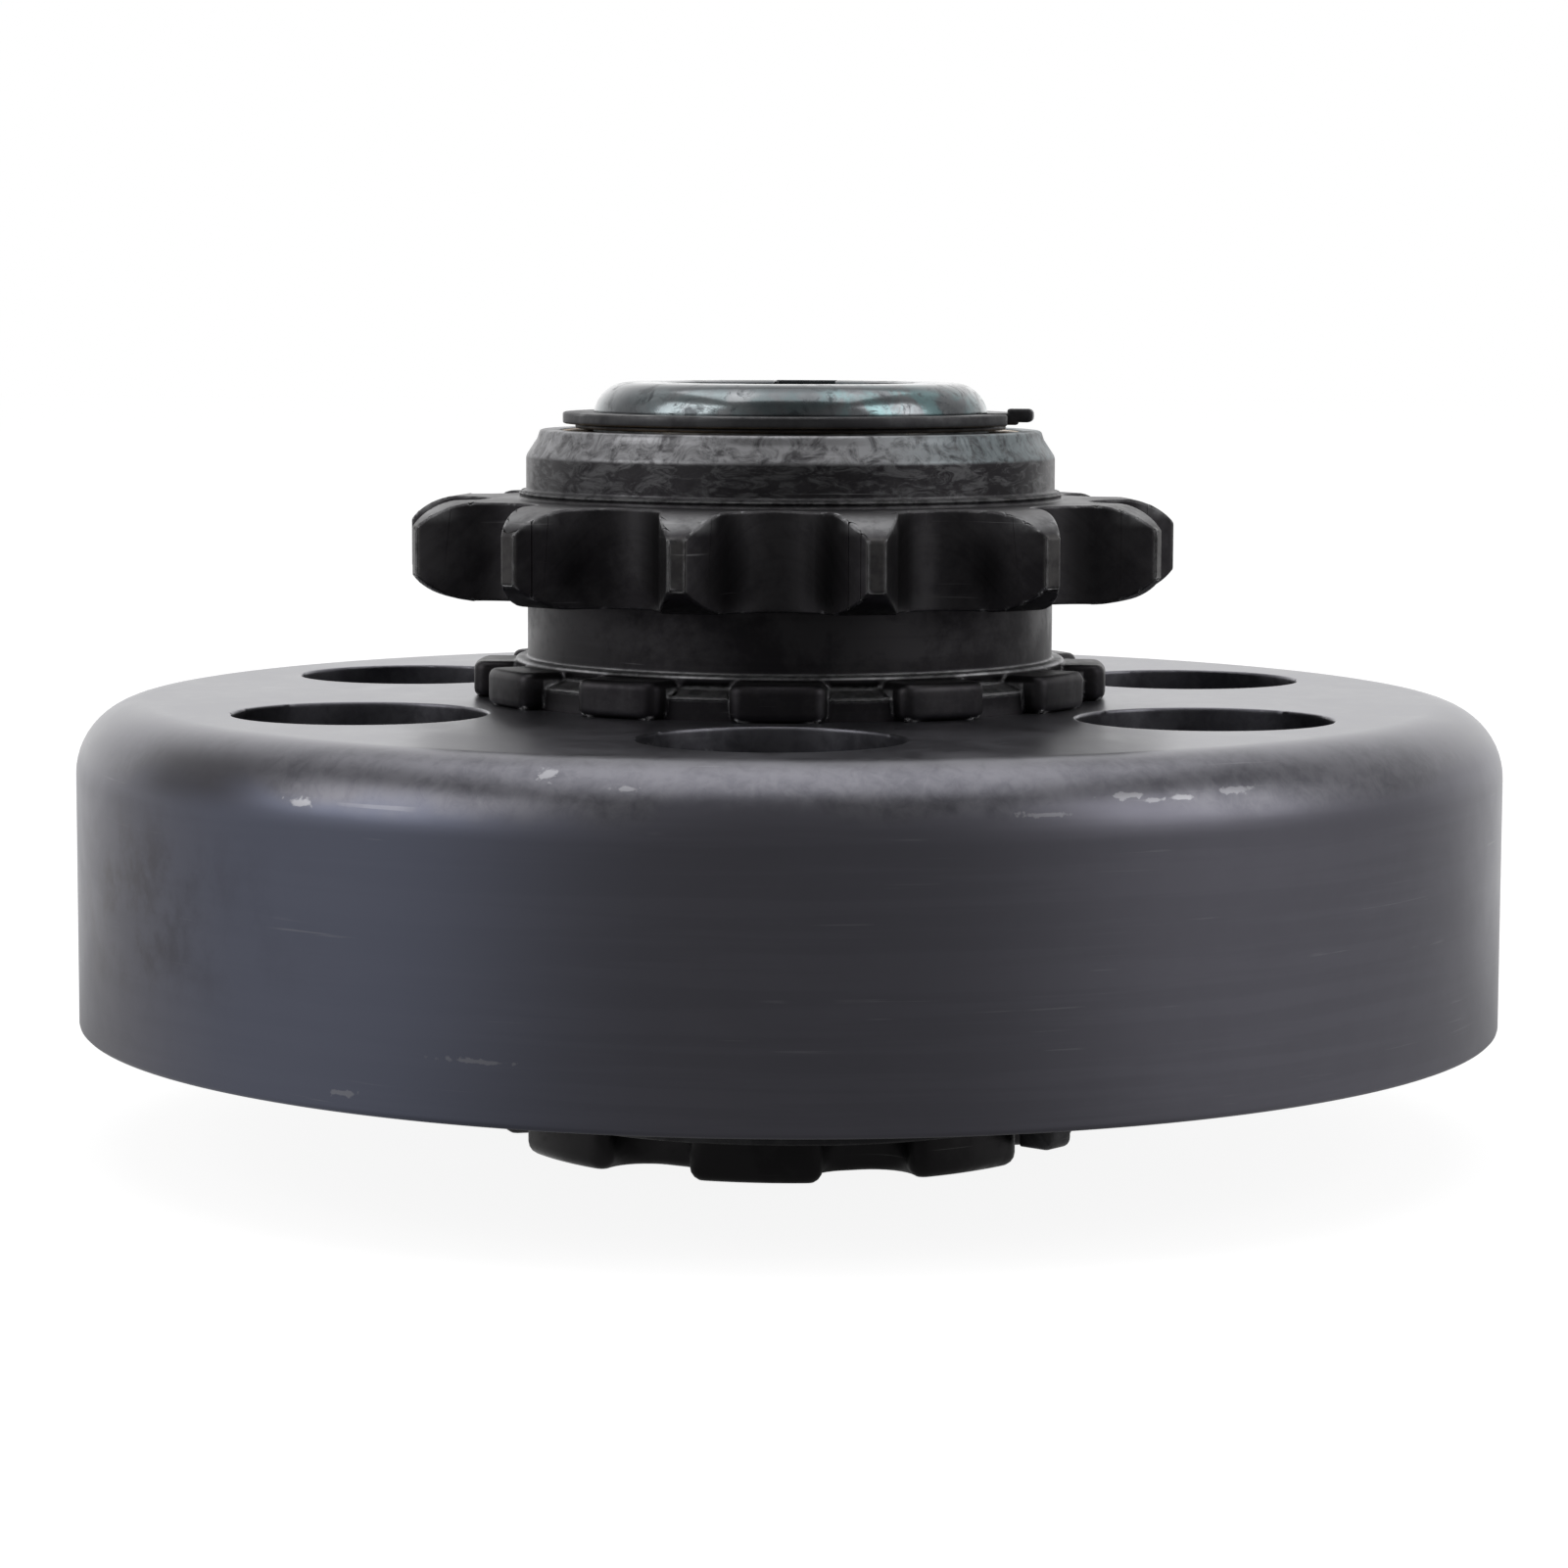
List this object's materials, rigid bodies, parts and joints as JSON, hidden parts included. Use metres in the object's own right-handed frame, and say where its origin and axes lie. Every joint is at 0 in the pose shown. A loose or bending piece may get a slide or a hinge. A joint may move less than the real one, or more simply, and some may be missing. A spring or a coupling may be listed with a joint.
{
  "type": "centrifugal clutch",
  "caption": "Small-engine centrifugal clutch: vented dark steel drum with a chain sprocket, keyed hub inside, sliding shoes and garter springs.",
  "frame": {"origin": "on the shaft axis, at the face of the driver hub's foot", "axes": "+Z along the shaft axis towards the sprocket end, -Y towards the picture's camera"},
  "size_m": [0.107, 0.107, 0.0571],
  "materials": {
    "drum_steel": "dark bare steel, turned and lightly stained",
    "sprocket_steel": "black oxide, worn grey on the tooth edges",
    "hub_steel": "black oxide with an oily tint",
    "shoe_steel": "sintered dark steel",
    "friction_lining": "moulded friction material",
    "bushing_bronze": "oiled bronze",
    "ring_steel": "oiled spring steel",
    "spring_wire": "drawn spring wire",
    "plate_steel": "dark pressed sheet"
  },
  "bodies": {
    "hub": {"driver_hub": "hub_steel", "retainer_plate": "plate_steel", "lower_snap_ring": "ring_steel", "upper_snap_ring": "ring_steel", "lower_thrust_washer": "bushing_bronze", "upper_thrust_washer": "ring_steel", "lower_garter_spring": "spring_wire", "upper_garter_spring": "spring_wire"},
    "drum": {"clutch_drum": "drum_steel", "chain_sprocket": "sprocket_steel", "bronze_bushing": "bushing_bronze"},
    "shoe_1": {"shoe_1": "shoe_steel", "lining_1": "friction_lining"},
    "shoe_2": {"shoe_2": "shoe_steel", "lining_2": "friction_lining"},
    "shoe_3": {"shoe_3": "shoe_steel", "lining_3": "friction_lining"},
    "shoe_4": {"shoe_4": "shoe_steel", "lining_4": "friction_lining"},
    "shoe_5": {"shoe_5": "shoe_steel", "lining_5": "friction_lining"},
    "shoe_6": {"shoe_6": "shoe_steel", "lining_6": "friction_lining"},
    "shoe_7": {"shoe_7": "shoe_steel", "lining_7": "friction_lining"},
    "shoe_8": {"shoe_8": "shoe_steel", "lining_8": "friction_lining"}
  },
  "joints": [
    {"name": "drum_spin", "type": "hinge", "parent": "hub", "child": "drum", "pos_m": [0, 0, 0], "axis": [0, 0, 1], "continuous": true},
    {"name": "shoe_1_slide", "type": "slide", "parent": "hub", "child": "shoe_1", "axis": [0.2756, -0.9613, 0], "range_m": [0, 0.0007], "stiffness_N_per_m": 3000, "deforming": ["lower_garter_spring", "upper_garter_spring"]},
    {"name": "shoe_2_slide", "type": "slide", "parent": "hub", "child": "shoe_2", "axis": [0.8746, -0.4848, 0], "range_m": [0, 0.0007], "stiffness_N_per_m": 3000},
    {"name": "shoe_3_slide", "type": "slide", "parent": "hub", "child": "shoe_3", "axis": [0.9613, 0.2756, 0], "range_m": [0, 0.0007], "stiffness_N_per_m": 3000},
    {"name": "shoe_4_slide", "type": "slide", "parent": "hub", "child": "shoe_4", "axis": [0.4848, 0.8746, 0], "range_m": [0, 0.0007], "stiffness_N_per_m": 3000},
    {"name": "shoe_5_slide", "type": "slide", "parent": "hub", "child": "shoe_5", "axis": [-0.2756, 0.9613, 0], "range_m": [0, 0.0007], "stiffness_N_per_m": 3000},
    {"name": "shoe_6_slide", "type": "slide", "parent": "hub", "child": "shoe_6", "axis": [-0.8746, 0.4848, 0], "range_m": [0, 0.0007], "stiffness_N_per_m": 3000},
    {"name": "shoe_7_slide", "type": "slide", "parent": "hub", "child": "shoe_7", "axis": [-0.9613, -0.2756, 0], "range_m": [0, 0.0007], "stiffness_N_per_m": 3000},
    {"name": "shoe_8_slide", "type": "slide", "parent": "hub", "child": "shoe_8", "axis": [-0.4848, -0.8746, 0], "range_m": [0, 0.0007], "stiffness_N_per_m": 3000}
  ],
  "couplings": [
    {"joint": "shoe_2_slide", "follows": "shoe_1_slide", "ratio": 1},
    {"joint": "shoe_3_slide", "follows": "shoe_1_slide", "ratio": 1},
    {"joint": "shoe_4_slide", "follows": "shoe_1_slide", "ratio": 1},
    {"joint": "shoe_5_slide", "follows": "shoe_1_slide", "ratio": 1},
    {"joint": "shoe_6_slide", "follows": "shoe_1_slide", "ratio": 1},
    {"joint": "shoe_7_slide", "follows": "shoe_1_slide", "ratio": 1},
    {"joint": "shoe_8_slide", "follows": "shoe_1_slide", "ratio": 1}
  ]
}
